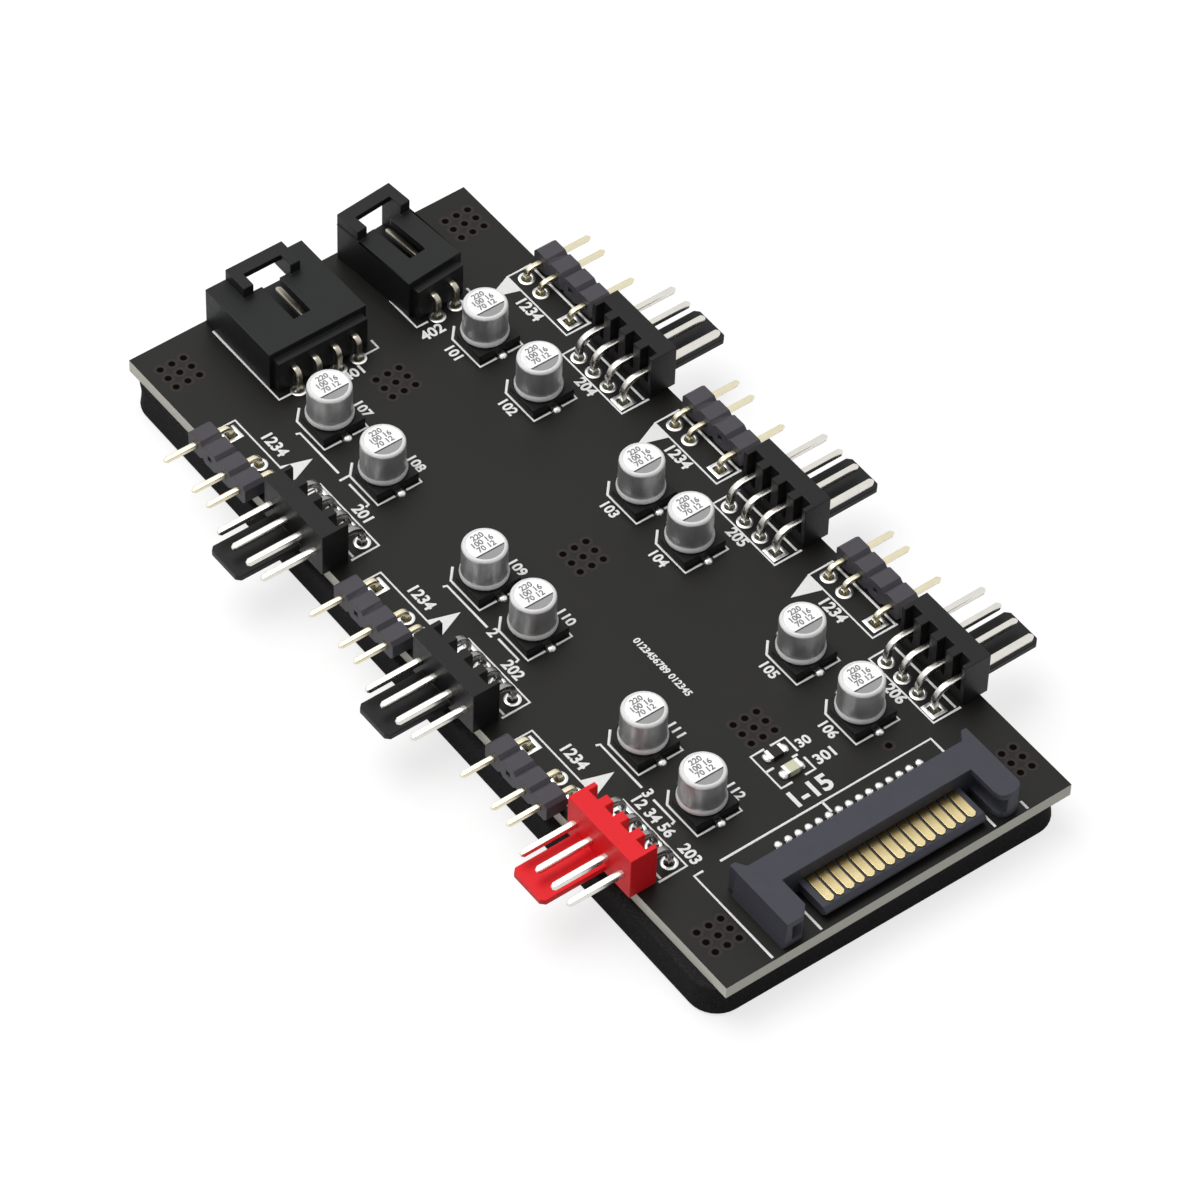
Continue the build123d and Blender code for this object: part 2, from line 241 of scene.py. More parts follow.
# Finishes

class Finish:
    """A principled material whose patterns read Object coordinates."""

    def __init__(self, name, colour, roughness, metallic=0.0, specular=0.5):
        self.material = bpy.data.materials.new(name)
        self.material.use_nodes = True
        self.tree = self.material.node_tree
        self.shader = self.tree.nodes["Principled BSDF"]
        self.shader.inputs["Base Color"].default_value = (*colour, 1)
        self.shader.inputs["Roughness"].default_value = roughness
        self.shader.inputs["Metallic"].default_value = metallic
        self.shader.inputs["Specular IOR Level"].default_value = specular
        self.where = self.add("ShaderNodeTexCoord").outputs["Object"]

    def add(self, kind, **values):
        node = self.tree.nodes.new(kind)
        for key, value in values.items():
            setattr(node, key, value)
        return node

    def join(self, source, target):
        self.tree.links.new(source, target)

    def stretched(self, stretch):
        mapping = self.add("ShaderNodeMapping")
        mapping.inputs["Scale"].default_value = stretch
        self.join(self.where, mapping.inputs["Vector"])
        return mapping.outputs["Vector"]

    def noise(self, grain_mm, detail=2.0, stretch=None):
        """Noise whose grains are about that many millimetres wide."""
        texture = self.add("ShaderNodeTexNoise")
        texture.inputs["Scale"].default_value = 1 / (grain_mm * MM)
        texture.inputs["Detail"].default_value = detail
        self.join(self.stretched(stretch) if stretch else self.where, texture.inputs["Vector"])
        return texture.outputs["Fac"]

    def cells(self, cell_mm):
        texture = self.add("ShaderNodeTexVoronoi")
        texture.inputs["Scale"].default_value = 1 / (cell_mm * MM)
        self.join(self.where, texture.inputs["Vector"])
        return texture.outputs["Distance"]

    def ranged(self, factor, low, high):
        return map_range(self.tree, factor, (0, 1, low, high))

    def blend(self, factor, low, high):
        """Colour between two colours or sockets."""
        mix = self.add("ShaderNodeMix", data_type="RGBA")
        self.join(factor, mix.inputs["Factor"])
        for socket, value in ((mix.inputs[6], low), (mix.inputs[7], high)):
            if isinstance(value, tuple):
                socket.default_value = (*value, 1)
            else:
                self.join(value, socket)
        return mix.outputs[2]

    def paint(self, colour):
        self.join(colour, self.shader.inputs["Base Color"])

    def roughen(self, factor, low, high):
        self.join(self.ranged(factor, low, high), self.shader.inputs["Roughness"])

    def emboss(self, height, strength, depth_mm):
        bump = self.add("ShaderNodeBump")
        bump.inputs["Strength"].default_value = strength
        bump.inputs["Distance"].default_value = depth_mm * MM
        self.join(height, bump.inputs["Height"])
        self.join(bump.outputs["Normal"], self.shader.inputs["Normal"])

    def above(self, axis, limit_mm):
        """One where the surface lies beyond a limit along an axis, and zero elsewhere."""
        parts = self.add("ShaderNodeSeparateXYZ")
        self.join(self.where, parts.inputs[0])
        test = self.add("ShaderNodeMath", operation="GREATER_THAN")
        self.join(parts.outputs[axis], test.inputs[0])
        test.inputs[1].default_value = limit_mm * MM
        return test.outputs[0]

    def along(self, axis, start_mm, end_mm):
        """Rises from zero to one between two places on an axis."""
        parts = self.add("ShaderNodeSeparateXYZ")
        self.join(self.where, parts.inputs[0])
        return map_range(self.tree, parts.outputs[axis], (start_mm * MM, end_mm * MM, 0, 1))


def moulded(name, colour, roughness, lift=1.25, specular=0.2):
    """Moulded nylon: fine sand grain, and a slow drift in tone and gloss."""
    finish = Finish(name, colour, roughness, specular=specular)
    lighter = tuple(min(1, channel * lift) for channel in colour)
    finish.paint(finish.blend(finish.noise(2.2, 3), colour, lighter))
    finish.roughen(finish.noise(0.6, 2), roughness - 0.07, roughness + 0.09)
    finish.emboss(finish.noise(0.09, 2), 0.35, 0.02)
    return finish.material


def plated(name, colour, roughness, stretch, grain_mm=0.12):
    """Plated metal with faint draw marks along one axis."""
    finish = Finish(name, colour, roughness, 1.0)
    darker = tuple(channel * 0.86 for channel in colour)
    finish.paint(finish.blend(finish.noise(0.7, 3), darker, colour))
    finish.roughen(finish.noise(0.4, 2), roughness - 0.06, roughness + 0.1)
    finish.emboss(finish.noise(grain_mm, 2, stretch), 0.1, 0.01)
    return finish.material


def tinned_finish():
    """Bright tin on the fan pins, with painted shade darkening the left row's tails behind their combs."""
    finish = Finish("tinned_pins", (0.80, 0.775, 0.72), 0.24, 1.0)
    tin = finish.blend(finish.noise(0.7, 3), (0.69, 0.67, 0.62), (0.80, 0.775, 0.72))
    # Painted shade: the left row's tails behind the comb are painted dark grey, where the header shades them.
    behind_the_comb = finish.above("X", FAN_COMB_BACK - BOARD_WIDTH / 2)
    tin_with_painted_shade = finish.blend(behind_the_comb, tin, (0.34, 0.33, 0.32))
    right_half = finish.above("X", 0.0)
    finish.paint(finish.blend(right_half, tin_with_painted_shade, tin))
    finish.roughen(finish.noise(0.4, 2), 0.18, 0.34)
    finish.emboss(finish.noise(0.12, 2, (0.1, 1, 1)), 0.1, 0.01)
    return finish.material


def contact_finish():
    """Gold flash on the mating strips, darkened towards the bar as painted shade and a painted reflection of
    the bar, and tin on the feet behind the bar, painted dark as the bar's shade.
    """
    finish = Finish("gold_contacts", (0.60, 0.48, 0.22), 0.36, 1.0)
    gold = finish.blend(finish.noise(0.7, 3), (0.66, 0.54, 0.28), (0.78, 0.65, 0.36))
    # Painted shade and reflection: the gold fades to dark brown towards the bar.
    gold = finish.blend(finish.along("Y", BOARD_FRONT + 2.4, BOARD_FRONT + 5.1), gold, (0.20, 0.14, 0.045))
    # The feet behind the bar are tin, painted darker than tin as shade under the bar.
    behind_the_bar = finish.above("Y", BOARD_FRONT + 9.0)
    finish.paint(finish.blend(behind_the_bar, gold, (0.30, 0.30, 0.30)))
    finish.roughen(finish.noise(0.4, 2), 0.2, 0.3)
    finish.emboss(finish.noise(0.12, 2, (1, 0.1, 1)), 0.25, 0.01)
    return finish.material


def board_finish():
    """Dark solder mask on the faces, and the layered glass laminate on the cut edges."""
    finish = Finish("solder_mask", (0.011, 0.011, 0.0105), 0.42, specular=0.2)
    mask = finish.blend(finish.noise(9, 3), (0.0074, 0.0071, 0.0060), (0.0124, 0.0119, 0.0104))
    layers = finish.add("ShaderNodeTexWave", wave_type="BANDS", bands_direction="Z")
    layers.inputs["Scale"].default_value = 1150
    layers.inputs["Distortion"].default_value = 1.5
    layers.inputs["Detail Scale"].default_value = 400
    finish.join(finish.where, layers.inputs["Vector"])
    laminate = finish.blend(layers.outputs["Fac"], (0.70, 0.69, 0.60), (0.95, 0.94, 0.85))
    fibres = finish.noise(0.35, 3, (1, 1, 0.3))
    laminate = finish.blend(fibres, laminate, (0.78, 0.77, 0.68))
    top = finish.above("Z", BOARD_TOP - 0.04)
    upper = finish.blend(top, laminate, mask)
    underside = finish.above("Z", BOARD_TOP - BOARD_THICKNESS + 0.04)
    finish.paint(finish.blend(underside, mask, upper))
    finish.roughen(top, 0.72, 0.4)
    finish.emboss(finish.noise(0.25, 2), 0.12, 0.012)
    return finish.material


def foam_finish():
    """Dull closed-cell foam with fine cut pores."""
    finish = Finish("closed_cell_foam", (0.008, 0.008, 0.0085), 0.95, specular=0.08)
    pores = finish.cells(0.22)
    finish.paint(finish.blend(pores, (0.012, 0.012, 0.0125), (0.033, 0.0322, 0.033)))
    finish.emboss(pores, 0.4, 0.06)
    return finish.material


def can_finish():
    """Drawn aluminium: fine upright draw marks and a soft cloudiness."""
    finish = Finish("drawn_aluminium", (0.74, 0.74, 0.75), 0.42, 1.0)
    finish.paint(finish.blend(finish.noise(1.6, 3), (0.72, 0.72, 0.73), (0.92, 0.92, 0.93)))
    finish.roughen(finish.noise(0.5, 2), 0.36, 0.48)
    finish.emboss(finish.noise(0.09, 2, (1, 1, 0.08)), 0.22, 0.012)
    return finish.material


def can_top_finish():
    """The can's face: brushed across, matt enough to stay pale."""
    finish = Finish("brushed_can_face", (0.70, 0.70, 0.70), 0.5, 0.7)
    finish.paint(finish.blend(finish.noise(0.4, 4), (0.64, 0.64, 0.64), (0.90, 0.90, 0.90)))
    finish.emboss(finish.noise(0.08, 2, (0.1, 1, 1)), 0.3, 0.012)
    return finish.material


def mottled_finish(name, colour, roughness=0.55, specular=0.3):
    """A slightly mottled dielectric finish: screen-printed ink, the hole rims, the painted shade in the hole
    bores and the painted highlight on the can rims.
    """
    finish = Finish(name, colour, roughness, specular=specular)
    duller = tuple(channel * 0.86 for channel in colour)
    finish.paint(finish.blend(finish.noise(0.3, 3), duller, colour))
    finish.emboss(finish.noise(0.1, 2), 0.2, 0.008)
    return finish.material


# Shaping by hand

def begin(name, add, **values):
    """A new primitive, active and alone in the selection."""
    bpy.ops.object.select_all(action="DESELECT")
    add(**values)
    piece = bpy.context.active_object
    piece.name = name
    piece.data.name = name
    return piece


def open_edit(piece):
    bpy.ops.object.select_all(action="DESELECT")
    piece.select_set(True)
    bpy.context.view_layer.objects.active = piece
    bpy.ops.object.mode_set(mode="EDIT")
    bpy.ops.mesh.select_mode(type="VERT")


def close_edit():
    bpy.ops.object.mode_set(mode="OBJECT")


def pick_faces(piece, test):
    """Select the faces whose middle and normal pass a test."""
    bpy.ops.mesh.select_mode(type="FACE")
    bpy.ops.mesh.select_all(action="DESELECT")
    shape = bmesh.from_edit_mesh(piece.data)
    for face in shape.faces:
        face.select_set(bool(test(face.calc_center_median(), face.normal)))
    bmesh.update_edit_mesh(piece.data)


def pick_edges(piece, test):
    """Select the edges whose two ends pass a test."""
    bpy.ops.mesh.select_mode(type="EDGE")
    bpy.ops.mesh.select_all(action="DESELECT")
    shape = bmesh.from_edit_mesh(piece.data)
    for edge in shape.edges:
        edge.select_set(bool(test(edge.verts[0].co, edge.verts[1].co)))
    bmesh.update_edit_mesh(piece.data)


def give_finish(piece, material):
    """Give the picked faces one of the piece's own materials."""
    piece.active_material_index = piece.data.materials.find(material.name)
    bpy.ops.object.material_slot_assign()


def extrude(move):
    bpy.ops.mesh.extrude_region_move(TRANSFORM_OT_translate={"value": move})


def draw_chain(points):
    """A chain of edges: the selected plane, merged to one vertex, moved and drawn out through points."""
    bpy.ops.mesh.merge(type="CENTER")
    bpy.ops.transform.translate(value=points[0])
    for before, after in zip(points, points[1:]):
        move = Vector(after) - Vector(before)
        bpy.ops.mesh.extrude_vertices_move(TRANSFORM_OT_translate={"value": move})


def clean_up():
    bpy.ops.mesh.select_all(action="SELECT")
    bpy.ops.mesh.remove_doubles(threshold=0.0005)
    bpy.ops.mesh.normals_make_consistent(inside=False)


def turned(name, profile, steps):
    """A round piece, spun from a profile of (radius, height) pairs."""
    piece = begin(name, bpy.ops.mesh.primitive_plane_add, size=0.1, location=(0, 0, 0))
    open_edit(piece)
    bpy.ops.mesh.select_all(action="SELECT")
    draw_chain([(radius, 0, height) for radius, height in profile])
    bpy.ops.mesh.select_all(action="SELECT")
    bpy.ops.mesh.spin(steps=steps, angle=math.tau, center=(0, 0, 0), axis=(0, 0, 1))
    clean_up()
    close_edit()
    return piece


def round_edges(piece, width, angle=35, segments=2):
    """Bevel the sharp edges, apply it and shade the rest smooth."""
    bevel = piece.modifiers.new("rounded_edges", "BEVEL")
    bevel.width = width
    bevel.segments = segments
    bevel.limit_method = "ANGLE"
    bevel.angle_limit = math.radians(angle)
    bevel.use_clamp_overlap = False
    bpy.context.view_layer.objects.active = piece
    bpy.ops.object.modifier_apply(modifier=bevel.name)
    smooth(piece)


def smooth(piece, angle=40):
    bpy.ops.object.select_all(action="DESELECT")
    piece.select_set(True)
    bpy.context.view_layer.objects.active = piece
    bpy.ops.object.shade_smooth_by_angle(angle=math.radians(angle))


def copy_at(piece, name, place):
    """A copy with its own mesh, moved and turned there."""
    bpy.ops.object.select_all(action="DESELECT")
    piece.select_set(True)
    bpy.context.view_layer.objects.active = piece
    bpy.ops.object.duplicate()
    made = bpy.context.active_object
    made.name = name
    made.data.name = name
    made.matrix_world = place @ made.matrix_world
    bpy.ops.object.transform_apply(location=True, rotation=True, scale=True)
    return made


def join_all(name, pieces):
    bpy.ops.object.select_all(action="DESELECT")
    for piece in pieces:
        piece.select_set(True)
    bpy.context.view_layer.objects.active = pieces[0]
    if len(pieces) > 1:
        bpy.ops.object.join()
    pieces[0].name = name
    pieces[0].data.name = name
    return pieces[0]


def discard(*pieces):
    for piece in pieces:
        bpy.data.objects.remove(piece)


def settle(piece, material=None, stands_for=()):
    """Scale a finished piece to metres, dress it and let it ride on the hub."""
    bpy.ops.object.select_all(action="DESELECT")
    piece.select_set(True)
    bpy.context.view_layer.objects.active = piece
    piece.scale = (MM, MM, MM)
    piece.location = piece.location * MM
    bpy.ops.object.transform_apply(location=True, rotation=True, scale=True)
    if material:
        piece.data.materials.clear()
        piece.data.materials.append(material)
    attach(piece, "root")
    if stands_for:
        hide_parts(*stands_for)
    return piece


def at(x, y, z=BOARD_TOP, turn=0.0):
    return Matrix.Translation((x, y, z)) @ Matrix.Rotation(math.radians(turn), 4, "Z")


def edge_place(side, y):
    """A header's place: local X points off the board."""
    if side == "left":
        return at(-BOARD_WIDTH / 2, y, BOARD_TOP, 180)
    return at(BOARD_WIDTH / 2, y)


# Each rear socket's place, with local X pointing into the board, and its pins
SOCKETS = {
    "wide": (at(-5.87, 38.97, BOARD_TOP, -90), PIN_OFFSETS),
    "narrow": (at(9.24, 39.08, BOARD_TOP, -85), PIN_OFFSETS[1:3]),
}


# Bent pins

def bent_pin(name, tip_x, height, hole_x, radius, side=PIN_SIDE):
    """A square pin drawn up out of its hole, bent over and tapered at its tip."""
    way = math.copysign(1, tip_x - hole_x)
    piece = begin(name, bpy.ops.mesh.primitive_plane_add, size=side,
                  location=(hole_x, 0, -BOARD_THICKNESS))
    bpy.ops.object.transform_apply(location=True)
    open_edit(piece)
    bpy.ops.mesh.select_all(action="SELECT")
    extrude((0, 0, height - radius + BOARD_THICKNESS))
    bpy.ops.mesh.spin(steps=7, angle=-math.pi / 2 * way, center=(hole_x + way * radius, 0, height - radius),
                      axis=(0, 1, 0))
    taper = 0.35
    extrude((tip_x - way * taper - hole_x - way * radius, 0, 0))
    extrude((way * taper, 0, 0))
    bpy.ops.transform.resize(value=(1, 0.45, 0.45))
    clean_up()
    close_edit()
    round_edges(piece, 0.05, 50)
    return piece


def pin_row(pin, name, place, offsets):
    """Copies of one pin along a row, joined into one piece."""
    row = [copy_at(pin, f"pin_{number}", place @ Matrix.Translation((0, offset, 0)))
           for number, offset in enumerate(offsets)]
    return join_all(name, row)


def fit_pins():
    fan_pin = bent_pin("fan_pin", FAN_PIN_REACH, FAN_PIN_HEIGHT, -FAN_HOLE_INSET, FAN_BEND_RADIUS)
    light_pin = bent_pin("light_pin", LIGHT_PIN_REACH, LIGHT_PIN_HEIGHT, -LIGHT_HOLE_INSET,
                         LIGHT_BEND_RADIUS, LIGHT_PIN_SIDE)
    socket_pin = bent_pin("socket_pin", -SOCKET_PIN_REACH, SOCKET_PIN_HEIGHT, SOCKET_HOLE_GAP,
                          SOCKET_BEND_RADIUS)
    for side in ("left", "right"):
        for number, y in enumerate(FAN_ROWS, start=1):
            row = pin_row(fan_pin, f"bent_fan_pins_{side}_{number}", edge_place(side, y), PIN_OFFSETS)
            settle(row, TIN_PINS, [f"fan_pins_{side}_{number}"])
        for number, y in enumerate(LIGHT_ROWS, start=1):
            row = pin_row(light_pin, f"bent_light_pins_{side}_{number}", edge_place(side, y),
                          LIGHT_PIN_OFFSETS)
            settle(row, GOLD_PINS, [f"light_pins_{side}_{number}"])
    for kind, (place, offsets) in SOCKETS.items():
        row = pin_row(socket_pin, f"bent_{kind}_socket_pins", place, offsets)
        settle(row, SOCKET_PINS, [f"{kind}_socket_pins"])
    discard(fan_pin, light_pin, socket_pin)


# Capacitor cans

def capacitor_can():
    """A drawn can: rolled foot bead, groove, straight wall and a rounded shoulder round its face."""
    foot, top, wall = CAN_FOOT, CAN_TOP, CAN_RADIUS
    bead = [(0.0, foot), (2.2, foot), (2.47, foot + 0.05), (2.57, foot + 0.18), (2.6, foot + 0.36),
            (2.55, foot + 0.58), (2.46, foot + 0.76)]
    side = [(wall, foot + 0.9), (wall, foot + 1.4), (wall, top - 0.4)]
    shoulder = [(wall - 0.03, top - 0.24), (wall - 0.11, top - 0.1), (wall - 0.25, top - 0.01),
                (wall - 0.36, top)]
    face = [(wall - 0.42, top - 0.035), (wall - 0.5, top - 0.04), (0.0, top - 0.04)]
    piece = turned("capacitor_can", bead + side + shoulder + face, 48)
    for material in (CAN_WALL, CAN_FACE, CAN_SEGMENT, CAN_CHORD, CAN_RIM):
        piece.data.materials.append(material)
    open_edit(piece)
    for chord in (CHORD_BACK, CHORD_FRONT):
        bpy.ops.mesh.select_all(action="SELECT")
        bpy.ops.mesh.bisect(plane_co=(0, chord, 0), plane_no=(0, 1, 0))
    for finish, limit in ((CAN_FACE, 2 * wall), (CAN_CHORD, CHORD_BACK), (CAN_SEGMENT, CHORD_FRONT)):
        pick_faces(piece, lambda middle, normal: middle.z > top - 0.06 and normal.z > 0.9
                   and middle.y < limit)
        give_finish(piece, finish)
    # Painted highlight: the foot bead and the shoulder get a near-white matt finish for the bright rings of
    # light on the aluminium.
    pick_faces(piece, lambda middle, normal: foot + 0.04 < middle.z < foot + 0.8
               or top - 0.3 < middle.z and middle.xy.length > wall - 0.42)
    give_finish(piece, CAN_RIM)
    close_edit()
    smooth(piece, 35)
    return piece


def number_mesh(name, digits, size, thickness=0.012):
    """Plain digits as a thin mesh, centred on the origin."""
    piece = begin(name, bpy.ops.object.text_add, location=(0, 0, 0))
    piece.data.body = digits
    piece.data.size = size
    piece.data.extrude = thickness
    piece.data.offset = size * BOLDNESS
    piece.data.align_x = "CENTER"
    piece.data.align_y = "CENTER"
    piece.data.resolution_u = 3
    bpy.ops.object.convert(target="MESH")
    return bpy.context.active_object


def fit_cans():
    can = capacitor_can()
    marks = []
    for digits, y in (("220", 1.3), ("100 16", 0.5), ("70 12", -0.3)):
        mark = number_mesh("can_mark", digits, CAN_DIGIT_SIZE)
        marks.append(copy_at(mark, "can_mark_placed", Matrix.Translation((0, y, CAN_TOP - 0.038))))
        discard(mark)
    mark = join_all("can_marks", marks)
    for side, x in CAN_COLUMNS.items():
        for number, y in enumerate(CAN_ROWS, start=1):
            made = copy_at(can, f"drawn_can_{side}_{number}", at(x, y))
            settle(made, None, [f"capacitor_can_{side}_{number}"])
            settle(copy_at(mark, f"can_print_{side}_{number}", at(x, y)), CAN_INK)
    discard(can, mark)


# Solder

def pad_ring():
    """A round tinned pad with a little solder heaped towards the hole it rings."""
    profile = [(0.55, 0.0), (0.56, 0.06), (0.62, 0.085), (0.74, 0.07), (0.88, 0.045), (0.93, 0.02),
               (0.94, 0.0)]
    piece = turned("pad_ring", profile, 24)
    smooth(piece, 60)
    return piece


def square_pad():
    """The square pad that marks pin one, with its hole and rounded edges."""
    piece = begin("square_pad", bpy.ops.mesh.primitive_plane_add, size=2.0, location=(0, 0, 0))
    open_edit(piece)
    bpy.ops.mesh.select_all(action="SELECT")
    bpy.ops.mesh.subdivide(number_cuts=3)
    bpy.ops.mesh.select_all(action="DESELECT")
    pick_faces(piece, lambda middle, normal: abs(middle.x) < 0.45 and abs(middle.y) < 0.45)
    bpy.ops.transform.resize(value=(1.15, 1.15, 1))
    bpy.ops.mesh.delete(type="FACE")
    bpy.ops.mesh.select_all(action="SELECT")
    extrude((0, 0, 0.05))
    clean_up()
    close_edit()
    round_edges(piece, 0.025)
    return piece


def solder_dome(name, length, width, height):
    """A low mound of solder: half a ball, flattened and stretched over its pad."""
    piece = begin(name, bpy.ops.mesh.primitive_uv_sphere_add, segments=16, ring_count=10, radius=0.5,
                  location=(0, 0, 0))
    open_edit(piece)
    bpy.ops.mesh.select_all(action="SELECT")
    bpy.ops.mesh.bisect(plane_co=(0, 0, 0), plane_no=(0, 0, 1), clear_inner=True, use_fill=True)
    bpy.ops.mesh.select_all(action="SELECT")
    bpy.ops.transform.resize(value=(width, length, 2 * height))
    clean_up()
    close_edit()
    smooth(piece, 60)
    return piece


def lay_solder():
    ring, square = pad_ring(), square_pad()
    joints = []
    for side in ("left", "right"):
        for rows, inset, offsets in ((FAN_ROWS, FAN_HOLE_INSET, PIN_OFFSETS),
                                     (LIGHT_ROWS, LIGHT_HOLE_INSET, LIGHT_PIN_OFFSETS)):
            for y in rows:
                places = [edge_place(side, y) @ Matrix.Translation((-inset, offset, 0)) for offset in offsets]
                joints += [copy_at(ring, "joint", place) for place in places[1:]]
                joints.append(copy_at(square, "joint", places[0]))
    for place, offsets in SOCKETS.values():
        joints += [copy_at(ring, "joint", place @ Matrix.Translation((SOCKET_HOLE_GAP, offset, 0)))
                   for offset in offsets]
    settle(join_all("pin_solder", joints), SOLDER)

    lead_mound = solder_dome("lead_mound", 1.12, 1.08, 0.38)
    mounds = [copy_at(lead_mound, "mound", at(x, y + step))
              for x in CAN_COLUMNS.values() for y in CAN_ROWS for step in (-LEAD_STEP, LEAD_STEP)]
    settle(join_all("lead_solder", mounds), SOLDER)

    foot_mound = solder_dome("foot_mound", 0.98, 0.92, 0.3)
    first_foot = CONTACT_PAD_X - (CONTACT_COUNT - 1) / 2 * CONTACT_PITCH
    feet = [copy_at(foot_mound, "foot", at(first_foot + number * CONTACT_PITCH, CONTACT_PAD_Y))
            for number in range(CONTACT_COUNT)]
    settle(join_all("contact_solder", feet), SOLDER)

    chip_mound = solder_dome("chip_mound", 1.2, 0.8, 0.28)
    chips = [centre_of("indicator_lamp"), centre_of("lamp_resistor")]
    ends = [copy_at(chip_mound, "end", at(chip.x + step, chip.y))
            for chip in chips for step in (-CHIP_END, CHIP_END)]
    settle(join_all("chip_solder", ends), SOLDER)
    discard(ring, square, lead_mound, foot_mound, chip_mound)


# Stitching holes

def drill_look():
    """One plated stitching hole: a low rim of bare laminate round a near-black disc, sunk a little, painted
    as the shade inside the bore.
    """
    piece = begin("stitch_hole", bpy.ops.mesh.primitive_circle_add, vertices=14, radius=0.73,
                  fill_type="NGON", location=(0, 0, 0))
    piece.data.materials.append(HOLE_RIM)
    piece.data.materials.append(HOLE_BORE)
    open_edit(piece)
    bpy.ops.mesh.select_all(action="SELECT")
    extrude((0, 0, 0.012))
    bpy.ops.mesh.inset(thickness=0.34)
    # Painted shade: the sunk centre is painted near-black for the shadow inside the bore.
    give_finish(piece, HOLE_BORE)
    extrude((0, 0, -0.006))
    bpy.ops.mesh.select_all(action="SELECT")
    bpy.ops.mesh.normals_make_consistent(inside=False)
    close_edit()
    return piece


def stitch_holes():
    """Blocks of three by three holes over the board, and one hole by itself."""
    hole = drill_look()
    steps = (-HOLE_STEP, 0, HOLE_STEP)
    made = [copy_at(hole, "hole", at(x + across, y + along))
            for x, y in HOLE_BLOCKS for across in steps for along in steps]
    made.append(copy_at(hole, "hole", at(*LONE_HOLE)))
    settle(join_all("stitching_holes", made))
    discard(hole)


# White print on the board

def ink_lines(name, lines, width=INK_WIDTH):
    """Printed lines: edges drawn on the board, given a round section and pressed nearly flat."""
    piece = begin(name, bpy.ops.mesh.primitive_plane_add, size=0.1, location=(0, 0, 0))
    open_edit(piece)
    bpy.ops.mesh.select_all(action="SELECT")
    for number, line in enumerate(lines):
        if number:
            bpy.ops.mesh.primitive_plane_add(size=0.1, location=(0, 0, 0))
        draw_chain([(x, y, 0.0) for x, y in line])
    close_edit()
    bpy.ops.object.select_all(action="DESELECT")
    piece.select_set(True)
    bpy.context.view_layer.objects.active = piece
    bpy.ops.object.convert(target="CURVE")
    line_curve = bpy.context.active_object
    line_curve.data.bevel_depth = width / 2
    line_curve.data.bevel_resolution = 1
    line_curve.data.use_fill_caps = True
    bpy.ops.object.convert(target="MESH")
    line_mesh = bpy.context.active_object
    line_mesh.scale = (1, 1, 2 * INK_HEIGHT / width)
    bpy.ops.object.transform_apply(location=True, rotation=True, scale=True)
    line_mesh.name = name
    return line_mesh


def ink_arrow(name, base_low, base_high, tip):
    """A filled arrowhead, cut from a plane and given the thickness of the ink."""
    piece = begin(name, bpy.ops.mesh.primitive_circle_add, vertices=3, radius=1.0, fill_type="NGON",
                  location=(0, 0, 0))
    open_edit(piece)
    shape = bmesh.from_edit_mesh(piece.data)
    for corner, place in zip(shape.verts, (base_low, base_high, tip)):
        corner.co = (*place, 0.0)
    bmesh.update_edit_mesh(piece.data)
    bpy.ops.mesh.select_all(action="SELECT")
    extrude((0, 0, INK_HEIGHT))
    clean_up()
    close_edit()
    return piece


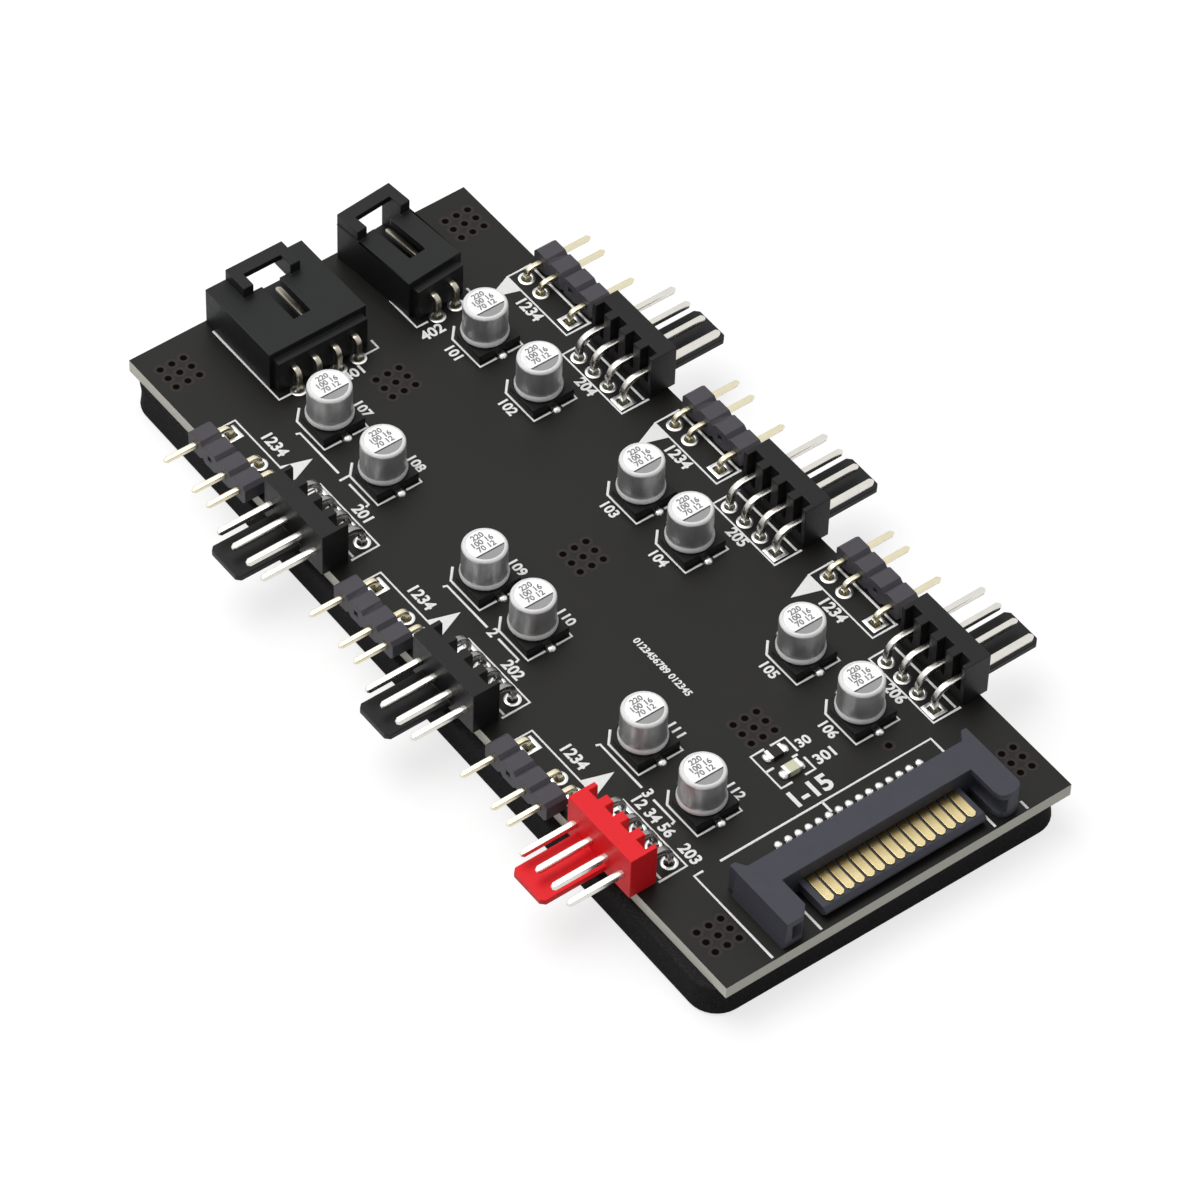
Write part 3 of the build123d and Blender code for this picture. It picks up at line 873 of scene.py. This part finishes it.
def print_board():
    """Every printed outline, arrow and plain number, joined into one layer of ink."""
    layer = []

    light = ink_lines("light_outline", [
        [(-0.9, 5.2), (-4.1, 5.2), (-4.1, -5.2), (-0.9, -5.2)],
        [(-1.1, 4.6), (-1.1, -5.2)],
    ])
    arrow = ink_arrow("pin_arrow", (-4.15, 2.75), (-4.15, 5.25), (-7.5, 3.85))
    fan = ink_lines("fan_outline", [
        [(-2.6, 5.15), (-6.1, 5.15), (-6.1, -5.15), (-2.6, -5.15)],
        [(-3.05, 4.9), (-3.05, -4.9)],
    ])
    for side in ("left", "right"):
        layer += [copy_at(light, "ink", edge_place(side, y)) for y in LIGHT_ROWS]
        layer += [copy_at(arrow, "ink", edge_place(side, y)) for y in LIGHT_ROWS]
        layer += [copy_at(fan, "ink", edge_place(side, y)) for y in FAN_ROWS]

    can = ink_lines("can_outline", [
        [(-1.55, 3.3), (-2.8, 1.9), (-2.8, -3.0), (-0.65, -3.0)],
        [(0.75, -3.0), (2.7, -3.0), (2.8, 1.9), (1.55, 3.3)],
    ])
    layer += [copy_at(can, "ink", at(x, y)) for x in CAN_COLUMNS.values() for y in CAN_ROWS]

    bracket = ink_lines("bracket", [
        [(-0.45, 12.25), (0, 12.1), (0, 5.25)],
        [(0, 3.4), (0, 0.0), (-0.45, -0.15)],
    ])
    layer += [copy_at(bracket, "ink", at(BRACKET_X, y)) for y in FAN_ROWS]

    front = BOARD_FRONT
    plug = ink_lines("plug_outline", [
        [(-15.7, front + 0.3), (-15.7, front + 12.75), (-14.6, front + 12.75)],
        [(-12.5, front + 12.75), (14.0, front + 12.75), (14.0, front + 10.6)],
        [(0.2, front + 12.75), (0.2, front + 11.2)],
        [(16.15, front + 1.3), (16.15, front + 0.15)],
        [(-9.7, front + 3.8), (-9.7, front + 0.25)],
        [(12.1, front + 2.65), (12.1, front + 0.25)],
    ])
    lamp = ink_lines("lamp_outline", [
        [(-0.3, -29.4), (-2.0, -29.4), (-2.0, -34.35), (-0.6, -34.35)],
        [(0.45, -29.4), (2.3, -29.4), (2.3, -31.55)],
        [(2.3, -32.5), (2.3, -34.35), (1.0, -34.35)],
        [(-2.0, -31.85), (-1.0, -31.85)],
        [(1.3, -31.85), (2.0, -31.85)],
    ])
    sockets = ink_lines("socket_outlines", [
        [(-12.15, 49.1), (-12.15, 37.1), (-8.95, 37.1)],
        [(-1.6, 37.1), (0.5, 37.1), (0.5, 38.4)],
        [(5.45, 41.9), (5.45, 37.1), (6.9, 37.1)],
        [(11.6, 37.35), (13.05, 37.35), (13.05, 38.6)],
    ])
    layer += [copy_at(outline, "ink", at(0, 0)) for outline in (plug, lamp, sockets)]

    for digits, size, x, y, turn in plain_numbers():
        number = number_mesh("digits", digits, size, INK_HEIGHT / 2)
        layer.append(copy_at(number, "ink", at(x, y, BOARD_TOP + INK_HEIGHT / 2, turn)))
        discard(number)
    settle(join_all("board_print", layer), WHITE_INK)
    discard(light, arrow, fan, can, bracket, plug, lamp, sockets)


def plain_numbers():
    """Each number on the board: digits, size, place and turn."""
    numbers = []
    for row, y in enumerate(CAN_ROWS, start=1):
        numbers.append((str(100 + row), 1.65, 6.4, y + 0.2, -90))
        numbers.append((str(106 + row), 1.65, -5.95, y - 0.6, -90))
    for row in range(3):
        for x in (-16.2, 16.5):
            numbers.append(("1234", 1.85, x, LIGHT_ROWS[row] + 0.1, -90))
        numbers.append((str(204 + row), 1.8, 14.7, FAN_ROWS[row] + 0.05, -90))
        numbers.append((str(1 + row), 1.7, BRACKET_X, FAN_ROWS[row] + 4.35, -90))
    numbers.append(("201", 1.8, -14.4, FAN_ROWS[0] - 0.8, -90))
    numbers.append(("202", 1.8, -14.4, FAN_ROWS[1] - 0.8, -90))
    numbers.append(("12 34 56", 1.75, -14.45, FAN_ROWS[2] + 1.8, -90))
    numbers.append(("203", 1.8, -14.4, FAN_ROWS[2] - 4.2, -90))
    numbers.append(("1-15", 2.9, 0.05, -36.35, 0))
    numbers.append(("301", 1.8, 4.2, -33.6, 0))
    numbers.append(("30", 1.6, 3.5, -30.9, 0))
    numbers.append(("0123456789 012345", 1.1, -2.0, -15.0, -90))
    numbers.append(("401", 1.75, -3.6, 35.6, 0))
    numbers.append(("402", 1.85, 6.4, 35.55, 0))
    return numbers


# Foam pad

def cut_pad():
    """The foam block: rounded corners, sides pressed in a little and softly cut edges."""
    width, length, height = PAD_SIZE
    piece = begin("foam_block", bpy.ops.mesh.primitive_cube_add, size=1, location=(0, 0, height / 2))
    piece.scale = PAD_SIZE
    bpy.ops.object.transform_apply(location=True, rotation=True, scale=True)
    open_edit(piece)
    pick_edges(piece, lambda a, b: abs(a.z - b.z) > 1)
    bpy.ops.mesh.bevel(offset=PAD_CORNER, segments=8, affect="EDGES", offset_type="OFFSET",
                       clamp_overlap=False)
    for z in PAD_PRESS:
        bpy.ops.mesh.select_all(action="SELECT")
        bpy.ops.mesh.bisect(plane_co=(0, 0, z), plane_no=(0, 0, 1))
    for z, press in PAD_PRESS.items():
        pick_edges(piece, lambda a, b: abs(a.z - z) < 0.01 and abs(b.z - z) < 0.01)
        lengthwise = 1 - (1 - press) * width / length
        bpy.ops.transform.resize(value=(press, lengthwise, 1), center_override=(0, 0, z))
    clean_up()
    close_edit()
    round_edges(piece, 0.22, 60, 3)
    made = copy_at(piece, "foam_pad_block", at(*PAD_SHIFT, 0, PAD_TWIST))
    discard(piece)
    settle(made, FOAM, ["foam_pad"])


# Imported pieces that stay

def dress(node, material, width=0.0, segments=2):
    """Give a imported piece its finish, and catch the light along its moulded edges."""
    piece = nodes[node]
    piece.data.materials.clear()
    piece.data.materials.append(material)
    if width:
        weld = piece.modifiers.new("joined_facets", "WELD")
        weld.merge_threshold = 1e-6
        bevel = piece.modifiers.new("rounded_edges", "BEVEL")
        bevel.width = width * MM
        bevel.segments = segments
        bevel.limit_method = "ANGLE"
        bevel.angle_limit = math.radians(35)
        bevel.use_clamp_overlap = False


def dress_packed_pieces():
    dress("circuit_board", BOARD)
    dress("power_plug_housing", PLUG_NYLON, 0.07)
    dress("power_plug_contacts", GOLD_CONTACTS, 0.03)
    for kind in SOCKETS:
        dress(f"{kind}_socket_housing", SOCKET_NYLON, 0.1)
    for side in ("left", "right"):
        for number in (1, 2, 3):
            dress(f"light_header_{side}_{number}", LIGHT_NYLON, 0.05)
            red = (side, number) == ("left", 3)
            dress(f"fan_header_{side}_{number}", RED_NYLON if red else FAN_NYLON, 0.08)
        for number in range(1, 7):
            dress(f"capacitor_base_{side}_{number}", BASE_RESIN, 0.06)
    dress("capacitor_leads", SOLDER, 0.03)
    dress("indicator_lamp", LAMP_RESIN, 0.05)
    dress("lamp_resistor", RESISTOR, 0.04)
    dress("chip_terminals", SOLDER, 0.04)


BOARD = board_finish()
FOAM = foam_finish()
PLUG_NYLON = moulded("plug_nylon", (0.052, 0.053, 0.067), 0.5)
SOCKET_NYLON = moulded("socket_nylon", (0.0100, 0.0104, 0.0106), 0.46)
FAN_NYLON = moulded("fan_header_nylon", (0.0092, 0.0092, 0.0096), 0.44)
RED_NYLON = moulded("red_header_nylon", (0.84, 0.016, 0.024), 0.45, 1.04)
LIGHT_NYLON = moulded("light_header_nylon", (0.060, 0.056, 0.066), 0.5, specular=0.25)
BASE_RESIN = moulded("capacitor_base_resin", (0.006, 0.006, 0.006), 0.5)
RESISTOR = moulded("resistor_glaze", (0.02, 0.017, 0.015), 0.35)
LAMP_RESIN = moulded("lamp_resin", (0.66, 0.66, 0.48), 0.35, 1.1)
GOLD_CONTACTS = contact_finish()
GOLD_PINS = plated("gold_pins", (0.84, 0.77, 0.56), 0.26, (0.1, 1, 1))
TIN_PINS = tinned_finish()
# Socket pins: a brassy tint of their own, made darker as painted shade for tails in the socket's shadow.
SOCKET_PINS = plated("socket_pins", (0.52, 0.49, 0.40), 0.3, (1, 0.1, 1))
SOLDER = plated("solder", (0.86, 0.86, 0.85), 0.3, (1, 1, 1), 0.3)
CAN_WALL = can_finish()
CAN_FACE = can_top_finish()
# Painted highlight: a near-white matt copy of the can's aluminium for its bead and shoulder.
CAN_RIM = mottled_finish("rolled_can_edge", (0.90, 0.90, 0.89), 0.4, 0.6)
CAN_SEGMENT = mottled_finish("can_polarity_print", (0.38, 0.38, 0.385), 0.45)
CAN_INK = mottled_finish("can_number_print", (0.26, 0.26, 0.265), 0.45)
CAN_CHORD = mottled_finish("can_chord_print", (0.05, 0.05, 0.052), 0.45)
WHITE_INK = mottled_finish("white_screen_print", (0.95, 0.95, 0.94))
HOLE_RIM = mottled_finish("hole_rim", (0.0250, 0.0190, 0.0172), 0.45, 0.2)
# Painted shade: the near-black of the hole bores stands in for their shadow.
HOLE_BORE = mottled_finish("hole_bore", (0.0062, 0.0046, 0.0043), 0.7, 0.0)

bpy.context.scene.view_settings.view_transform = "Standard"
place_camera()
light_the_studio()
lay_floor()
dress_packed_pieces()
fit_pins()
fit_cans()
lay_solder()
stitch_holes()
print_board()
cut_pad()
